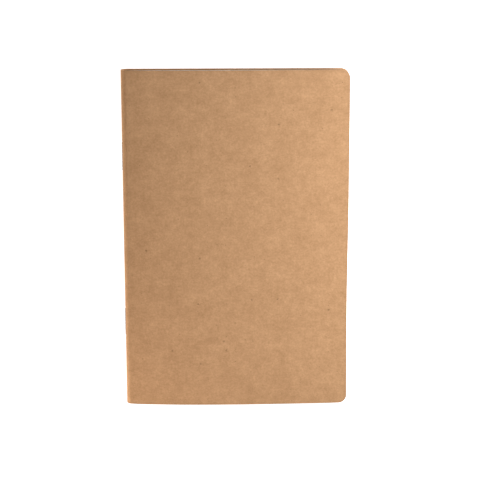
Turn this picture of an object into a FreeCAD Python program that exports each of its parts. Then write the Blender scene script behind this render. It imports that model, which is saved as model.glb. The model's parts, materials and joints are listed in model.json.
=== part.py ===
# A pocket notebook with a soft kraft-card cover, saddle stitched with two wire staples.
#
# It lies closed on its back cover. +Z is its thickness, +Y points to the head of the pages, and +X
# runs from the spine to the fore edge. The origin is under the middle of its bounding box.
#
# The cover and every sheet are folded round one common line, the fold axis, which runs along Y at
# mid thickness. A folded sheet is three nodes: a front leaf, a back leaf and the fold that joins
# them. Sheet 01 is the outermost and lies against the cover, and the last one is the centre spread.
import FreeCAD, Part

import os

# Cover
COVER_WIDTH = 95.0  # outside of the spine to the fore edge
COVER_HEIGHT = 145.0
COVER_THICKNESS = 0.40
CORNER_RADIUS = 3.5  # of the cover's two fore-edge corners

# Pages
SHEETS = 16
PAPER_THICKNESS = 0.10
PAPER_PITCH = 0.13  # one paper thickness and the air up to the next leaf
PAGE_INSET = 0.6  # the cover stands this far past the pages at the head, the tail and the fore edge
FOLD_REACH = 0.30  # how far a fold's straight sides run past the fold axis before the leaf starts

# Wire staples
WIRE_RADIUS = 0.225
WIRE_CLEARANCE = 0.02
WIRE_PROUD = 0.20  # how far the crown stands out of the spine
CROWN_LENGTH = 12.0  # between the two legs' centre lines
CLINCH_LENGTH = 4.2  # leg centre line to the tip of the clinched end
CROWN_BEND = 0.40  # bend radii are to the wire's centre line
CLINCH_BEND = 0.25
STAPLE_FROM_MIDDLE = 36.0  # each staple's distance from the middle of the spine

# Places that follow from those
LEAF_START = WIRE_RADIUS + 0.025  # innermost leaf to the mid plane, so the clinch fits between
COVER_INSIDE = LEAF_START + SHEETS * PAPER_PITCH
HALF_THICKNESS = COVER_INSIDE + COVER_THICKNESS
FORE_X = (COVER_WIDTH + WIRE_PROUD) / 2
AXIS_X = FORE_X - COVER_WIDTH + HALF_THICKNESS
AXIS_Z = HALF_THICKNESS
CROWN_X = AXIS_X - HALF_THICKNESS - WIRE_PROUD + WIRE_RADIUS


def point(x, y, z):
    return FreeCAD.Vector(x, y, z)


def line(start, end):
    return Part.LineSegment(start, end).toShape()


def arc(start, middle, end):
    return Part.Arc(start, middle, end).toShape()


def quarter(start, end, centre):
    """A quarter circle between two points, bulging away from its centre."""
    chord = (start + end) * 0.5 - centre
    middle = centre + chord.normalize() * start.distanceToPoint(centre)
    return arc(start, middle, end)


def leaf(bottom, thickness, inset):
    """A flat plate from the fold to the fore edge, with its two fore-edge corners rounded."""
    spine, fore, head = AXIS_X + FOLD_REACH, FORE_X - inset, COVER_HEIGHT / 2 - inset
    radius = CORNER_RADIUS - inset
    x_in, y_in = fore - radius, head - radius
    foot_start = point(x_in, -head, bottom)
    foot_end = point(fore, -y_in, bottom)
    head_start = point(fore, y_in, bottom)
    head_end = point(x_in, head, bottom)
    outline = [
        line(point(spine, -head, bottom), foot_start),
        quarter(foot_start, foot_end, point(x_in, -y_in, bottom)),
        line(foot_end, head_start),
        quarter(head_start, head_end, point(x_in, y_in, bottom)),
        line(head_end, point(spine, head, bottom)),
        line(point(spine, head, bottom), point(spine, -head, bottom)),
    ]
    return Part.Face(Part.Wire(outline)).extrude(point(0, 0, thickness))


def front_leaf(inner, thickness, inset=0.0):
    """The half of a folded sheet above the mid plane; inner is its distance from that plane."""
    return leaf(AXIS_Z + inner, thickness, inset)


def back_leaf(inner, thickness, inset=0.0):
    return leaf(AXIS_Z - inner - thickness, thickness, inset)


def bend_side(radius, y):
    """Where a fold of this radius starts and ends, and the ends of its two straight sides."""
    upper, lower = point(AXIS_X, y, AXIS_Z + radius), point(AXIS_X, y, AXIS_Z - radius)
    reach = point(FOLD_REACH, 0, 0)
    return upper, point(AXIS_X - radius, y, AXIS_Z), lower, upper + reach, lower + reach


def fold(inner, thickness, inset=0.0):
    """A half round bend about the fold axis with two short straight sides, along the spine."""
    foot = inset - COVER_HEIGHT / 2
    in_top, in_far, in_low, in_top_end, in_low_end = bend_side(inner, foot)
    out_top, out_far, out_low, out_top_end, out_low_end = bend_side(inner + thickness, foot)
    section = [
        line(out_top_end, out_top),
        arc(out_top, out_far, out_low),
        line(out_low, out_low_end),
        line(out_low_end, in_low_end),
        line(in_low_end, in_low),
        arc(in_low, in_far, in_top),
        line(in_top, in_top_end),
        line(in_top_end, out_top_end),
    ]
    return Part.Face(Part.Wire(section)).extrude(point(0, COVER_HEIGHT - 2 * inset, 0))


def half_staple_path(middle_y, side):
    """Edges from the middle of the crown to one clinched tip. side is +1 towards the head."""
    leg_y = middle_y + side * CROWN_LENGTH / 2

    def at(x, inward):
        return point(x, leg_y - side * inward, AXIS_Z)

    leg_start = CROWN_X + CROWN_BEND
    leg_end = AXIS_X - CLINCH_BEND
    return [
        line(point(CROWN_X, middle_y, AXIS_Z), at(CROWN_X, CROWN_BEND)),
        quarter(at(CROWN_X, CROWN_BEND), at(leg_start, 0), at(leg_start, CROWN_BEND)),
        line(at(leg_start, 0), at(leg_end, 0)),
        quarter(at(leg_end, 0), at(AXIS_X, CLINCH_BEND), at(leg_end, CLINCH_BEND)),
        line(at(AXIS_X, CLINCH_BEND), at(AXIS_X, CLINCH_LENGTH)),
    ]


def staple(middle_y, wire_radius):
    """A closed staple: crown outside the spine, legs through it, ends clinched on the fold axis."""
    halves = []
    for side in (-1, 1):
        path = Part.Wire(half_staple_path(middle_y, side))
        start = point(CROWN_X, middle_y, AXIS_Z)
        ring = Part.Wire(Part.Circle(start, point(0, 1, 0), wire_radius).toShape())
        halves.append(path.makePipeShell([ring], True, True))
    return halves[0].fuse(halves[1]).removeSplitter()


def write(name, shape):
    solids = shape.Solids
    if len(solids) != 1 or not shape.isValid():
        raise ValueError(f"{name} has {len(solids)} solids, valid: {shape.isValid()}")
    solids[0].exportStep(f"parts/{name}.step")


def write_staples():
    places = {"staple_upper": STAPLE_FROM_MIDDLE, "staple_lower": -STAPLE_FROM_MIDDLE}
    for name, middle_y in places.items():
        write(name, staple(middle_y, WIRE_RADIUS))
    return [staple(y, WIRE_RADIUS + WIRE_CLEARANCE) for y in places.values()]


def write_cover(staple_rooms):
    write("cover_front", front_leaf(COVER_INSIDE, COVER_THICKNESS))
    write("cover_back", back_leaf(COVER_INSIDE, COVER_THICKNESS))
    write("cover_spine", fold(COVER_INSIDE, COVER_THICKNESS).cut(staple_rooms))


def write_sheet(number, staple_rooms):
    inner = LEAF_START + (SHEETS - number) * PAPER_PITCH
    name = f"sheet_{number:02d}"
    write(f"{name}_front_leaf", front_leaf(inner, PAPER_THICKNESS, PAGE_INSET))
    write(f"{name}_back_leaf", back_leaf(inner, PAPER_THICKNESS, PAGE_INSET))
    write(f"{name}_fold", fold(inner, PAPER_THICKNESS, PAGE_INSET).cut(staple_rooms))


def main():
    os.makedirs("parts", exist_ok=True)
    staple_rooms = write_staples()
    write_cover(staple_rooms)
    for number in range(1, SHEETS + 1):
        write_sheet(number, staple_rooms)


main()
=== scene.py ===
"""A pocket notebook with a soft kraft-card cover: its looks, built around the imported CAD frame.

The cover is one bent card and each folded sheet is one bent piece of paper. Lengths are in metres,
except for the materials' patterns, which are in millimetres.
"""

import json
import math

import bpy
import numpy as np
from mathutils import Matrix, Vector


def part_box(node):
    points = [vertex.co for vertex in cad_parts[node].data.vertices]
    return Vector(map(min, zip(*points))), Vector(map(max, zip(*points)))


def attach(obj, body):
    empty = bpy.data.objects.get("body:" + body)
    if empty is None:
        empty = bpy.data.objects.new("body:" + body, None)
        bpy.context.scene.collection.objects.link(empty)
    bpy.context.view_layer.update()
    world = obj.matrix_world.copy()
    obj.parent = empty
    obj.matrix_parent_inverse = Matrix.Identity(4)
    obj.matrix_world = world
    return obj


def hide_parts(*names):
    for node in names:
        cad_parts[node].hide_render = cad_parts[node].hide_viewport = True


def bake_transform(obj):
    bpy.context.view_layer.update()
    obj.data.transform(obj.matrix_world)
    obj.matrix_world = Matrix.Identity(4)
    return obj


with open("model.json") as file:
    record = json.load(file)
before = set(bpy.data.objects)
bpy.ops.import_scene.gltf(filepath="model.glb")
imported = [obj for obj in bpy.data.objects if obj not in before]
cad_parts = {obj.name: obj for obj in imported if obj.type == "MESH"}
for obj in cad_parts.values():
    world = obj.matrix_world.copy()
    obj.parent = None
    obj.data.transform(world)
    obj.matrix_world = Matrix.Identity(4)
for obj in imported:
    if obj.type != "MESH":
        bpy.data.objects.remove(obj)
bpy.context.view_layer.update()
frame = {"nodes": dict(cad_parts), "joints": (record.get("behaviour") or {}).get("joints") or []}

MM = 0.001
rng = np.random.default_rng(7)

# Places read from the frame
fold_x, _, fold_z = next(j for j in frame["joints"] if j["name"] == "front_cover_hinge")["pos_m"]
cover_low, cover_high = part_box("cover_front")
FORE_X, HEAD_Y = cover_high.x, cover_high.y
CARD = cover_high.z - cover_low.z
SHEET_NAMES = sorted(n[: -len("_fold")] for n in frame["nodes"] if n.endswith("_fold"))
STAPLES = [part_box(name) for name in ("staple_lower", "staple_upper")]
STAPLE_MIDDLES = [(low.y + high.y) / 2 for low, high in STAPLES]
CROWN_HALF = (STAPLES[0][1].y - STAPLES[0][0].y) / 2
WIRE_RADIUS = (STAPLES[0][1].z - STAPLES[0][0].z) / 2

# The front cover lies in a bow, which is higher towards the tail. Its slope across the cover is
# listed at shares of the leaf's width.
SLOPE_AT = (0.0, 0.12, 0.30, 0.60, 1.0)
SLOPE = (0.225, 0.09, 0.0, -0.038, -0.050)
HEAD_RISE, TAIL_RISE = 0.5, 1.0  # shares of that bow at the head and at the tail
OUTER_SHARE, CENTRE_SHARE = 0.97, 0.16  # shares of it that the first and the last sheet have
FORE_RETREAT = 0.32 * MM  # how far the bow draws the front cover's fore edge in
RETREAT_Y, RETREAT_REACH = -28 * MM, 48 * MM  # where it does, and how far from there it fades out

# The ends of the front cover curl down, and it has two faint ripples, each given as its height, its
# radians per metre across and up the cover, and its phase.
TAIL_CURL, HEAD_CURL = 0.50 * MM, 0.10 * MM
CURL_WIDTH, CURL_POWER = 10 * MM, 1.3
RIPPLES = ((0.07 * MM, 61, 43, 0.6), (0.05 * MM, 118, -87, 2.1))
STIFF_SHARE = 0.15  # both build up over this share of the width, because the fold is stiff

CORNER = 3.5 * MM  # radius of the cover's two fore-edge corners
ROUNDED_END = 12 * MM  # the fore-edge strip whose columns close up towards the rounded corners
JOG = 0.06 * MM  # how unevenly the sheets are trimmed

DENT = 0.16 * MM  # how far a staple's crown presses the spine in
DENT_EASE = 0.02 * MM  # each layer further in is pressed in by this much less
DENT_WIDTH = 0.55 * MM  # half the dent's width round the fold
DENT_PAST, DENT_FADE = 0.6 * MM, 1.2 * MM  # how far it runs past the crown, and over what it fades

# How fine the meshes are
CORNER_ROWS, MIDDLE_ROWS = 10, 31
STAPLE_ROOM, STAPLE_STEP = 1.5 * MM, 0.6 * MM  # rows beside a staple: how far past it, how far apart
COVER_COLUMNS, SHEET_COLUMNS = 44, 28
CROWDING = 0.09  # how much closer together the columns are at the two sides of a leaf
DENTED_STEPS, PLAIN_STEPS = 28, 14  # round a fold


def smooth(t):
    """0 up to 0, 1 from 1, and a smooth step between."""
    t = np.clip(t, 0, 1)
    return t * t * (3 - 2 * t)


SHARES = np.linspace(0, 1, 201)
SLOPES = np.interp(SHARES, SLOPE_AT, SLOPE)
HEIGHTS = np.concatenate([[0], np.cumsum((SLOPES[1:] + SLOPES[:-1]) / 2)]) / (len(SHARES) - 1)


def bow_at(y):
    """The share of the full bow at this height up the cover."""
    return TAIL_RISE + (HEAD_RISE - TAIL_RISE) * smooth((y + HEAD_Y) / (2 * HEAD_Y))


def rise(across, y, width):
    """How far the cover has risen at this share of the leaf's width from where the leaf starts."""
    bow = np.interp(across, SHARES, HEIGHTS) * width * bow_at(y)
    tail = smooth(1 - (y + HEAD_Y) / CURL_WIDTH) ** CURL_POWER
    head = smooth(1 - (HEAD_Y - y) / CURL_WIDTH) ** CURL_POWER
    x = across * width
    uneven = sum(height * np.sin(kx * x + ky * y + phase) for height, kx, ky, phase in RIPPLES)
    uneven = uneven - TAIL_CURL * tail - HEAD_CURL * head
    return bow + uneven * smooth(across / STIFF_SHARE)


def pressed_in(turn, ys):
    """The share of its dent that a fold has at this turn round it, under the staple crowns."""
    beside = np.exp(-((turn * fold_z / DENT_WIDTH) ** 2))
    past = [CROWN_HALF + DENT_PAST - np.abs(ys - y) for y in STAPLE_MIDDLES]
    return beside * sum(smooth(p / DENT_FADE) for p in past)


def rows(head, corner, dented):
    """The y of each row of the grid, from tail to head: more at the corners and beside a dent."""
    turn = np.radians(np.linspace(0, 90, CORNER_ROWS))
    straight = head - corner
    rim = straight + corner * np.sin(turn)
    ys = np.concatenate([-rim, np.linspace(-straight, straight, MIDDLE_ROWS), rim])
    half = CROWN_HALF + STAPLE_ROOM
    for centre in STAPLE_MIDDLES if dented else ():
        ys = ys[np.abs(ys - centre) > half + STAPLE_STEP]
        ys = np.concatenate([ys, np.arange(centre - half, centre + half, STAPLE_STEP)])
    return np.unique(np.round(ys, 7))


def leaf_columns(count):
    """Shares of a leaf's width, closer together beside the fold and at the fore edge."""
    t = np.linspace(0, 1, count)
    return t - CROWDING * np.sin(2 * math.pi * t)


def into_corner(x, y, fore, corner):
    """Closes up the columns of the fore-edge strip, so that the last one follows the corner."""
    over = np.clip(np.abs(y) - (np.abs(y).max() - corner), 0, corner)
    end = fore - corner + np.sqrt(corner**2 - over**2)
    start = fore - ROUNDED_END
    share = np.clip((x - start) / ROUNDED_END, 0, 1)
    return np.where(x > start, start + share * (end - start), x)


def bent_strips(radius, share, ys, fore, corner, columns, dent):
    """Strips of points along a folded piece: across the back leaf, round the fold, across the front.

    Each strip is its x and z at every row and how far round the piece it is. radius is from the
    fold axis to the middle of the thickness, and share is how much of the cover's bow it has.
    """
    width = fore - fold_x
    lean = np.arctan(share * SLOPE[0] * bow_at(ys))  # the front leaf leaves the fold at this slope
    retreat = FORE_RETREAT * share * smooth(1 - np.abs(ys - RETREAT_Y) / RETREAT_REACH)
    steps = DENTED_STEPS if dent else PLAIN_STEPS
    strips = []
    for c in columns[::-1]:
        x = into_corner(fold_x + width * c, ys, fore, corner)
        strips.append((x, np.full(len(ys), fold_z - radius), fore - x))
    for c in np.linspace(0, 1, steps + 1)[1:-1]:
        turn = (math.pi - lean) * c - math.pi / 2
        r = radius - dent * pressed_in(turn, ys)
        along = np.full(len(ys), width + math.pi * radius * c)
        strips.append((fold_x - r * np.cos(turn), fold_z + r * np.sin(turn), along))
    for c in columns:
        start = fold_x - radius * np.sin(lean)
        x = into_corner(start + (fore - start) * c, ys, fore, corner)
        across = (x - start) / (fore - start)
        z = fold_z + radius * np.cos(lean) + share * rise(across, ys, width)
        strips.append((x - retreat * across**2, z, width + math.pi * radius + x - start))
    return strips


def bent_sheet(name, radius, share, thickness, head, fore, corner, columns, dent):
    """One folded piece as a solid sheet, with its UV in metres and each point's way to an edge."""
    ys = rows(head, corner, dent > 0)
    strips = bent_strips(radius, share, ys, fore, corner, columns, dent)
    points = np.array([np.stack([x, ys, z], axis=-1) for x, z, _ in strips])
    uv = np.array([np.stack([along, ys + HEAD_Y], axis=-1) for _, _, along in strips])
    index = np.arange(len(strips) * len(ys)).reshape(len(strips), len(ys))
    quads = np.stack([index[:-1, :-1], index[1:, :-1], index[1:, 1:], index[:-1, 1:]], axis=-1)
    mesh = bpy.data.meshes.new(name)
    mesh.from_pydata(points.reshape(-1, 3).tolist(), [], quads.reshape(-1, 4).tolist())
    layer = mesh.uv_layers.new(name="UVMap")
    used = np.zeros(len(mesh.loops), int)
    mesh.loops.foreach_get("vertex_index", used)
    layer.data.foreach_set("uv", uv.reshape(-1, 2)[used].ravel())
    to_fore = np.minimum(uv[:, :, 0] - uv[0, :, 0], uv[-1, :, 0] - uv[:, :, 0])
    to_end = np.minimum(ys - ys[0], ys[-1] - ys)
    edge = mesh.attributes.new("from_edge", "FLOAT", "POINT")
    edge.data.foreach_set("value", np.minimum(to_fore, to_end).astype(np.float32).ravel())
    obj = bpy.data.objects.new(name, mesh)
    bpy.context.scene.collection.objects.link(obj)
    solid = obj.modifiers.new("thickness", "SOLIDIFY")
    solid.thickness = thickness
    solid.offset = 0
    solid.use_even_offset = True
    solid.material_offset_rim = 1
    return obj


def finished(obj, materials, sharp_over=35):
    """Applies the modifiers, gives the materials and smooths all but the sharp edges."""
    for m in materials:
        obj.data.materials.append(m)
    graph = bpy.context.evaluated_depsgraph_get()
    mesh = bpy.data.meshes.new_from_object(obj.evaluated_get(graph), depsgraph=graph)
    obj.modifiers.clear()
    obj.data = mesh
    mesh.shade_smooth()
    mesh.set_sharp_from_angle(angle=math.radians(sharp_over))


# ---------------------------------------------------------------------------------------- materials


class Nodes:
    """A short way to write a material's node tree."""

    def __init__(self, name):
        self.material = bpy.data.materials.new(name)
        self.material.use_nodes = True
        self.tree = self.material.node_tree
        self.shader = self.tree.nodes["Principled BSDF"]

    def add(self, kind, inputs=None, **settings):
        node = self.tree.nodes.new(kind)
        for key, value in settings.items():
            setattr(node, key, value)
        for key, value in (inputs or {}).items():
            self.set(node.inputs[key], value)
        return node

    def set(self, socket, value):
        if isinstance(value, bpy.types.NodeSocket):
            self.tree.links.new(value, socket)
        else:
            socket.default_value = value

    def uv_mm(self):
        """The surface's own coordinates, in millimetres, so that the pattern moves with it."""
        uv = self.add("ShaderNodeUVMap", uv_map="UVMap").outputs["UV"]
        return self.add("ShaderNodeMapping", {"Vector": uv, "Scale": (1 / MM, 1 / MM, 1 / MM)}).outputs[0]

    def turned(self, vector, angle, scale):
        inputs = {"Vector": vector, "Rotation": (0, 0, math.radians(angle)), "Scale": scale}
        return self.add("ShaderNodeMapping", inputs).outputs[0]

    def noise(self, vector, scale, detail=3.0, rough=0.55, distortion=0.0):
        inputs = {"Vector": vector, "Scale": scale, "Detail": detail}
        inputs |= {"Roughness": rough, "Distortion": distortion}
        return self.add("ShaderNodeTexNoise", inputs).outputs["Fac"]

    def ramp(self, value, low, high, to_low=0.0, to_high=1.0):
        inputs = {"Value": value, "From Min": low, "From Max": high}
        inputs |= {"To Min": to_low, "To Max": to_high}
        return self.add("ShaderNodeMapRange", inputs).outputs["Result"]

    def math(self, operation, a, b):
        return self.add("ShaderNodeMath", {0: a, 1: b}, operation=operation).outputs[0]

    def joined(self, operation, fields):
        """All the fields put together, two at a time."""
        result = fields[0]
        for field in fields[1:]:
            result = self.math(operation, result, field)
        return result

    def mix(self, factor, a, b):
        inputs = {"Factor": factor, 6: a, 7: b}
        return self.add("ShaderNodeMix", inputs, data_type="RGBA").outputs[2]

    def brightened(self, colour, value):
        """The colour times a grey value."""
        if isinstance(colour, tuple):
            colour = colour[:3]
        inputs = {0: colour, "Scale": value}
        return self.add("ShaderNodeVectorMath", inputs, operation="SCALE").outputs[0]

    def bump(self, height, distance, strength):
        inputs = {"Height": height, "Distance": distance, "Strength": strength}
        return self.add("ShaderNodeBump", inputs).outputs["Normal"]


# Kraft pulp is mottled at five sizes. Each is its scale per millimetre, the noise's detail and
# roughness, and how much lighter or darker it makes the card.
MOTTLING = (
    (2.3, 2.0, 0.6, 0.05),
    (1.1, 3.0, 0.6, 0.11),
    (0.36, 3.0, 0.6, 0.09),
    (0.13, 2.0, 0.5, 0.065),
    (0.06, 2.0, 0.5, 0.015),
)
DEEPER = (0.70, 0.66, 0.58, 1)  # the pulp's dark parts are redder as well as darker

# Fibres: the way they lie in degrees, and how many there are across a millimetre
LIGHT_FIBRES = ((17, 0.8), (74, 0.95), (121, 0.7), (163, 0.85))
DARK_FIBRES = ((41, 0.8), (2, 0.7), (92, 0.9), (139, 0.65))
LIGHTER_BY, DARKER_BY = 0.075, 0.095
FIBRE_LENGTH = 7.0  # in widths

# Bark specks: millimetres from one to the next, size, share that is kept, and place of the pattern
SPECKS = ((11.0, 0.75, 0.14, 3.0), (4.0, 0.34, 0.12, 11.0))
BARK, BARK_STRENGTH = (0.13, 0.065, 0.03, 1), 0.5

EDGE_SHADE, EDGE_REACH = 0.07, 1.4  # painted shade along the card's edges, with some handling wear: darker within these millimetres of an edge


def fibres(n, vector, angle, density):
    """Thin short streaks in one direction: 1 on a fibre and 0 elsewhere."""
    along = n.turned(vector, angle, (density, density * FIBRE_LENGTH, 1))
    field = n.noise(along, 1.0, detail=2.0, rough=0.5, distortion=0.35)
    return n.ramp(field, 0.64, 0.72)


def specks(n, vector, cell, size, kept, place):
    """Scattered flecks: one in every cell of the given width, of which a share is kept."""
    moved = n.add("ShaderNodeMapping", {"Vector": vector, "Location": (place, place * 1.7, 0)})
    inputs = {"Vector": moved.outputs[0], "Scale": 1 / cell}
    cells = n.add("ShaderNodeTexVoronoi", inputs, voronoi_dimensions="2D")
    wobble = n.ramp(n.noise(vector, 2.4, detail=1.0), 0.3, 0.7, 0.0, 0.6 * size / cell)
    distance = n.math("ADD", cells.outputs["Distance"], wobble)
    chance = n.add("ShaderNodeSeparateColor", {"Color": cells.outputs["Color"]}).outputs["Red"]
    dot = n.ramp(distance, size / cell, 0.55 * size / cell)
    return n.math("MULTIPLY", dot, n.ramp(chance, kept + 0.01, kept))


def kraft(name, colour, roughness=0.82):
    """Uncoated brown kraft card: cloudy pulp, short light and dark fibres and a few bark specks."""
    n = Nodes(name)
    at = n.uv_mm()
    fields = [n.noise(at, scale, detail, rough) for scale, detail, rough, _ in MOTTLING]
    shades = [n.ramp(f, 0.25, 0.75, 1 - m[3], 1 + m[3]) for f, m in zip(fields, MOTTLING)]
    value = n.joined("MULTIPLY", shades)
    light = n.joined("MAXIMUM", [fibres(n, at, turn, density) for turn, density in LIGHT_FIBRES])
    dark = n.joined("MAXIMUM", [fibres(n, at, turn, density) for turn, density in DARK_FIBRES])
    value = n.math("ADD", value, n.math("MULTIPLY", light, LIGHTER_BY))
    value = n.math("SUBTRACT", value, n.math("MULTIPLY", dark, DARKER_BY))
    deep = tuple(c * k for c, k in zip(colour, DEEPER))
    pale = tuple(c * (2 - k) for c, k in zip(colour, DEEPER))
    base = n.mix(n.ramp(value, DEEPER[0], 2 - DEEPER[0]), deep, pale)
    bark = n.joined("MAXIMUM", [specks(n, at, *kind) for kind in SPECKS])
    base = n.mix(n.math("MULTIPLY", bark, BARK_STRENGTH), base, BARK)
    # Painted shade, with some handling wear: the card is darker within EDGE_REACH of its edges.
    edge = n.add("ShaderNodeAttribute", attribute_name="from_edge").outputs["Fac"]
    base = n.brightened(base, n.ramp(edge, 0, EDGE_REACH * MM, 1 - EDGE_SHADE, 1.0))
    grain, fine, pulp = fields[:3]
    n.set(n.shader.inputs["Base Color"], base)
    n.set(n.shader.inputs["Roughness"], n.ramp(pulp, 0.3, 0.7, roughness - 0.05, roughness + 0.06))
    height = n.math("ADD", n.math("MULTIPLY", grain, 0.4), n.math("MULTIPLY", fine, 0.6))
    height = n.math("ADD", height, n.math("MULTIPLY", light, 0.25))
    n.set(n.shader.inputs["Normal"], n.bump(height, 0.03 * MM, 0.8))
    n.shader.inputs["Specular IOR Level"].default_value = 0.1
    return n.material


# The ruling, in millimetres up from the tail
LINE_PITCH, FIRST_LINE, LINES = 7.0, 12.0, 18
LINE_WIDTH, FADE_INSIDE, FADE_OUTSIDE = 0.16, 0.02, 0.06
INK = (0.33, 0.35, 0.38, 1)


def ruling(n, at):
    """1 on a ruled line and 0 elsewhere."""
    up = n.add("ShaderNodeSeparateXYZ", {"Vector": at}).outputs["Y"]
    step = n.math("ADD", up, LINE_PITCH / 2 - FIRST_LINE)
    from_line = n.math("SUBTRACT", n.math("FLOORED_MODULO", step, LINE_PITCH), LINE_PITCH / 2)
    distance = n.math("ABSOLUTE", from_line, 0)
    line = n.ramp(distance, LINE_WIDTH / 2 + FADE_OUTSIDE, LINE_WIDTH / 2 - FADE_INSIDE)
    line = n.math("MULTIPLY", line, n.math("GREATER_THAN", up, FIRST_LINE - 1))
    last_line = FIRST_LINE + (LINES - 1) * LINE_PITCH
    return n.math("MULTIPLY", line, n.math("LESS_THAN", up, last_line + 1))


def paper(name, colour, ruled):
    """Off-white uncoated writing paper, ruled in light grey."""
    n = Nodes(name)
    at = n.uv_mm()
    tooth = n.noise(at, 1.6, detail=2.0)
    cloud = n.noise(at, 0.12, detail=2.0)
    value = n.ramp(tooth, 0.25, 0.75, 0.985, 1.015)
    value = n.math("MULTIPLY", value, n.ramp(cloud, 0.25, 0.75, 0.985, 1.01))
    base = n.brightened(colour, value)
    if ruled:
        ink = n.math("MULTIPLY", ruling(n, at), n.ramp(tooth, 0.3, 0.7, 0.5, 0.8))
        base = n.mix(ink, base, INK)
    n.set(n.shader.inputs["Base Color"], base)
    n.set(n.shader.inputs["Roughness"], n.ramp(tooth, 0.3, 0.7, 0.8, 0.9))
    n.set(n.shader.inputs["Normal"], n.bump(tooth, 0.01 * MM, 0.5))
    n.shader.inputs["Specular IOR Level"].default_value = 0.25
    return n.material


def steel(name, bright, dull):
    """Drawn stitching wire, with fine marks along it."""
    n = Nodes(name)
    drawn = n.noise(n.turned(n.uv_mm(), 0, (0.8, 9.0, 1)), 2.0, detail=3.0)
    n.set(n.shader.inputs["Base Color"], n.mix(n.ramp(drawn, 0.35, 0.7), bright, dull))
    n.set(n.shader.inputs["Roughness"], n.ramp(drawn, 0.3, 0.7, 0.22, 0.38))
    n.set(n.shader.inputs["Normal"], n.bump(drawn, 0.01 * MM, 0.5))
    n.shader.inputs["Metallic"].default_value = 1.0
    return n.material


kraft_card = kraft("kraft_card", (0.530, 0.286, 0.139, 1))
kraft_cut = kraft("kraft_cut", (0.56, 0.33, 0.175, 1), 0.9)
page = paper("page_paper", (0.75, 0.725, 0.655, 1), ruled=True)
page_cut = paper("page_cut", (0.64, 0.61, 0.54, 1), ruled=False)
wire = steel("staple_wire", (0.62, 0.63, 0.65, 1), (0.46, 0.47, 0.49, 1))

# -------------------------------------------------------------------------------------------- pieces


def bend_between(piece):
    """Bakes the piece's transform into its mesh."""
    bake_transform(piece)


def make_cover():
    middle = fold_z - CARD / 2
    columns = leaf_columns(COVER_COLUMNS)
    card = bent_sheet("cover", middle, 1.0, CARD, HEAD_Y, FORE_X, CORNER, columns, DENT)
    finished(card, [kraft_card, kraft_cut])
    bend_between(card)
    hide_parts("cover_front", "cover_spine", "cover_back")


def make_sheet(name, layer):
    """A folded sheet. layer is 1 for the sheet next to the cover."""
    low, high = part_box(f"{name}_front_leaf")
    thickness = high.z - low.z
    middle = (low.z + high.z) / 2 - fold_z
    further_in = (len(SHEET_NAMES) - layer) / (len(SHEET_NAMES) - 1)
    share = CENTRE_SHARE + (OUTER_SHARE - CENTRE_SHARE) * further_in
    fore = high.x - rng.uniform(0, JOG)
    head = high.y - rng.uniform(0, JOG)
    corner = CORNER - (FORE_X - high.x)
    dent = max(0.0, DENT - layer * DENT_EASE)
    columns = leaf_columns(SHEET_COLUMNS)
    sheet = bent_sheet(name, middle, share, thickness, head, fore, corner, columns, dent)
    finished(sheet, [page, page_cut])
    bend_between(sheet)
    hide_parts(f"{name}_front_leaf", f"{name}_fold", f"{name}_back_leaf")


CLINCH = 4.2 * MM  # leg to the tip of the clinched end
CROWN_BEND, CLINCH_BEND = 0.40 * MM, 0.25 * MM
BEND_POINTS, RING_POINTS = 7, 20
CHISEL = 0.9  # how steeply the wire's ends are cut, as a rise over a run


def half_path(low, high, side):
    """Points from the middle of the crown to one clinched tip, in the plane of the wire."""
    crown_x, tip_x = low.x + WIRE_RADIUS, high.x - WIRE_RADIUS
    middle = (low.y + high.y) / 2
    half = (high.y - low.y) / 2 - WIRE_RADIUS
    points = [(crown_x, 0.0), (crown_x, half * 0.5)]
    turns = np.radians(np.linspace(0, 90, BEND_POINTS))
    for t in turns:
        points.append((crown_x + CROWN_BEND * (1 - math.cos(t)), half - CROWN_BEND * (1 - math.sin(t))))
    for t in turns:
        points.append((tip_x - CLINCH_BEND * (1 - math.sin(t)), half - CLINCH_BEND * (1 - math.cos(t))))
    points += [(tip_x, half - CLINCH * 0.6), (tip_x, half - CLINCH)]
    return [(x, middle + side * y) for x, y in points]


def wire_points(path):
    """A ring of points round each point of the path, with their UV in metres."""
    steps = np.diff(path, axis=0)
    tangent = np.vstack([steps[:1], steps[1:] + steps[:-1], steps[-1:]])
    tangent /= np.linalg.norm(tangent, axis=1)[:, None]
    ends = {0: -CHISEL, len(path) - 1: CHISEL}
    verts, uvs, run = [], [], 0.0
    for i, (p, t) in enumerate(zip(path, tangent)):
        run += np.linalg.norm(path[i] - path[i - 1]) if i else 0.0
        side = np.array([t[1], -t[0]])
        for a in np.linspace(0, 2 * math.pi, RING_POINTS, endpoint=False):
            across, up = WIRE_RADIUS * math.cos(a), WIRE_RADIUS * math.sin(a)
            x, y = p + side * across + t * across * ends.get(i, 0.0)
            verts.append((x, y, fold_z + up))
            uvs.append((run, a * WIRE_RADIUS))
    return verts, uvs


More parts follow.
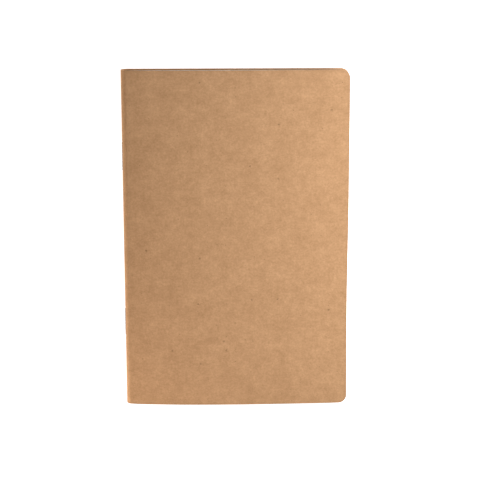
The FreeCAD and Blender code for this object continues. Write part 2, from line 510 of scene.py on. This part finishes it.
def make_staple(name):
    """A wire staple: one tube along its path, with chisel-cut ends."""
    low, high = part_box(name)
    path = np.array(half_path(low, high, -1)[:0:-1] + half_path(low, high, 1))
    verts, uvs = wire_points(path)
    faces = []
    for first in range(0, len(verts) - RING_POINTS, RING_POINTS):
        for k in range(RING_POINTS):
            a, b = first + k, first + (k + 1) % RING_POINTS
            faces.append((a, b, b + RING_POINTS, a + RING_POINTS))
    faces.append(tuple(range(RING_POINTS))[::-1])
    faces.append(tuple(range(len(verts) - RING_POINTS, len(verts))))
    mesh = bpy.data.meshes.new(name + "_wire")
    mesh.from_pydata(verts, [], faces)
    layer = mesh.uv_layers.new(name="UVMap")
    for loop in mesh.loops:
        layer.data[loop.index].uv = uvs[loop.vertex_index]
    mesh.validate()
    obj = bpy.data.objects.new(name + "_wire", mesh)
    bpy.context.scene.collection.objects.link(obj)
    finished(obj, [wire], sharp_over=50)
    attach(obj, "staples")
    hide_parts(name)


make_cover()
for sheet_layer, sheet_name in enumerate(SHEET_NAMES, start=1):
    make_sheet(sheet_name, sheet_layer)
for staple_name in ("staple_upper", "staple_lower"):
    make_staple(staple_name)

# ----------------------------------------------------------------------------- floor, light, camera

FLOOR_HALF = 2.5
FLOOR_WHITE = (0.9, 0.9, 0.9, 1)
FLOOR_GLOW = 0.75  # the floor is lit from inside as well, so the shadows on it are faint
FLOOR_DROP = 0.05 * MM  # keeps it clear of the back cover

# The walls round the studio are white up to the first angle and dim from the second one.
WHITE_UNDER, DIM_OVER = math.radians(8), math.radians(28)
WHITE, DIM = 1.0, 0.12

# Lights: place, size and watts. The light from the right is a little cooler than the rest.
KEY_TINT = (0.925, 1.0, 1.07)
FILL_TINT = (1.05, 1.0, 0.97)
LIGHTS = {
    "key_low": ((0.26, 0.055, 0.10), 0.08, 0.94, KEY_TINT),
    "key_high": ((0.24, 0.10, 0.22), 0.12, 0.47, KEY_TINT),
    "fill": ((-0.16, -0.20, 0.10), 0.08, 0.34, FILL_TINT),
    "spine_side": ((-0.50, -0.05, 0.08), 0.15, 0.50, (1, 1, 1)),
}

# The camera is above the notebook and past its head, and looks down and back towards the tail.
CAMERA_PLACE = (-0.00181, 0.16884, 0.68974)
CAMERA_TURN = (-13.834, -0.304, -0.17)  # degrees about X, Y and Z, applied in the order Z, X, Y
LENS, SENSOR = 125, 36  # in millimetres


def make_floor():
    corners = [(-1, -1), (1, -1), (1, 1), (-1, 1)]
    mesh = bpy.data.meshes.new("floor")
    mesh.from_pydata([(x * FLOOR_HALF, y * FLOOR_HALF, 0) for x, y in corners], [], [(0, 1, 2, 3)])
    floor = bpy.data.objects.new("floor", mesh)
    bpy.context.scene.collection.objects.link(floor)
    n = Nodes("floor_white")
    n.shader.inputs["Base Color"].default_value = FLOOR_WHITE
    n.shader.inputs["Roughness"].default_value = 0.9
    n.shader.inputs["Specular IOR Level"].default_value = 0.0
    n.shader.inputs["Emission Color"].default_value = (1, 1, 1, 1)
    n.shader.inputs["Emission Strength"].default_value = FLOOR_GLOW
    mesh.materials.append(n.material)
    floor.location.z = -FLOOR_DROP


def add_light(name, location, size, power, colour):
    """A soft square light, turned towards the middle of the notebook and unseen by the camera."""
    light = bpy.data.lights.new(name, "AREA")
    light.size = size
    light.energy = power
    light.color = colour
    obj = bpy.data.objects.new(name, light)
    bpy.context.scene.collection.objects.link(obj)
    obj.location = location
    obj.rotation_euler = (-obj.location).to_track_quat("-Z", "Y").to_euler()
    obj.visible_camera = False


def make_world():
    """Pale walls all round, white at the horizon and dim overhead."""
    world = bpy.data.worlds.new("studio")
    world.use_nodes = True
    tree = world.node_tree
    at = tree.nodes.new("ShaderNodeTexCoord").outputs["Generated"]
    split = tree.nodes.new("ShaderNodeSeparateXYZ")
    height = tree.nodes.new("ShaderNodeMapRange")
    height.interpolation_type = "SMOOTHSTEP"
    height.inputs["From Min"].default_value = math.sin(WHITE_UNDER)
    height.inputs["From Max"].default_value = math.sin(DIM_OVER)
    height.inputs["To Min"].default_value = WHITE
    height.inputs["To Max"].default_value = DIM
    tree.links.new(at, split.inputs[0])
    tree.links.new(split.outputs["Z"], height.inputs["Value"])
    background = tree.nodes["Background"]
    background.inputs["Color"].default_value = (1, 1, 1, 1)
    tree.links.new(height.outputs["Result"], background.inputs["Strength"])
    bpy.context.scene.world = world


def make_camera():
    data = bpy.data.cameras.new("camera")
    data.lens = LENS
    data.sensor_width = SENSOR
    camera = bpy.data.objects.new("camera", data)
    camera.location = CAMERA_PLACE
    camera.rotation_mode = "ZXY"
    camera.rotation_euler = [math.radians(turn) for turn in CAMERA_TURN]
    bpy.context.scene.collection.objects.link(camera)
    bpy.context.scene.camera = camera


make_floor()
make_world()
for light_name, settings in LIGHTS.items():
    add_light(light_name, *settings)
make_camera()
bpy.context.scene.view_settings.view_transform = "Standard"
